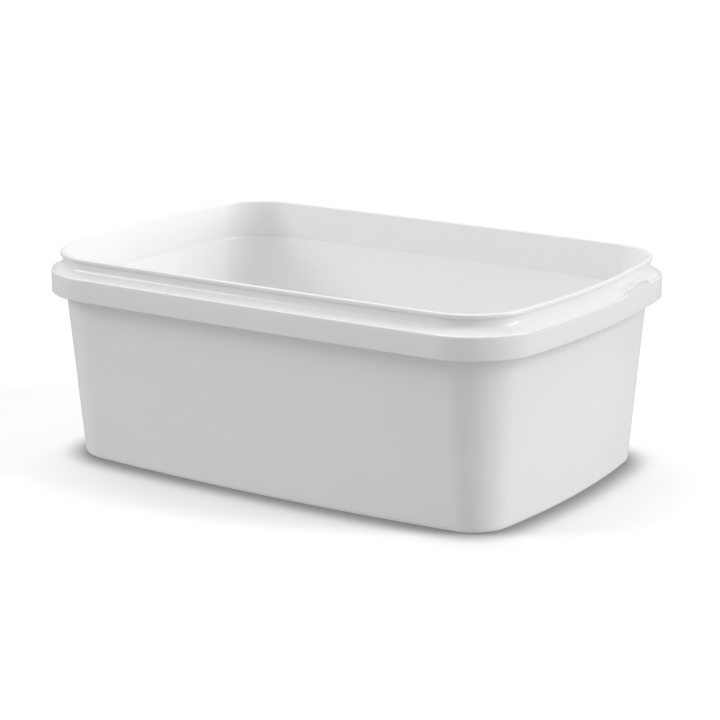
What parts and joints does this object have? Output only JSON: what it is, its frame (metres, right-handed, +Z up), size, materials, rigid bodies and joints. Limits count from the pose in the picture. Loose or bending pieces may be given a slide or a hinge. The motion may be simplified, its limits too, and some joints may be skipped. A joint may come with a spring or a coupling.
{
  "type": "rectangular plastic food tub",
  "caption": "Open rectangular food tub with rounded corners, tapered walls, a deep rim skirt, a raised neck with a beaded lip, and a small half-moon tab on one short side.",
  "frame": {"origin": "middle of the underside, on the surface that the tub stands on", "axes": "+X along the long side, towards the short side with the half-moon tab; +Y towards the long back side; +Z up through the mouth"},
  "size_m": [0.216, 0.146, 0.081],
  "materials": {
    "white_plastic": "smooth moulded white plastic with a soft gloss, slightly cool in tone"
  },
  "bodies": {
    "root": {"tub": "white_plastic"}
  },
  "joints": []
}
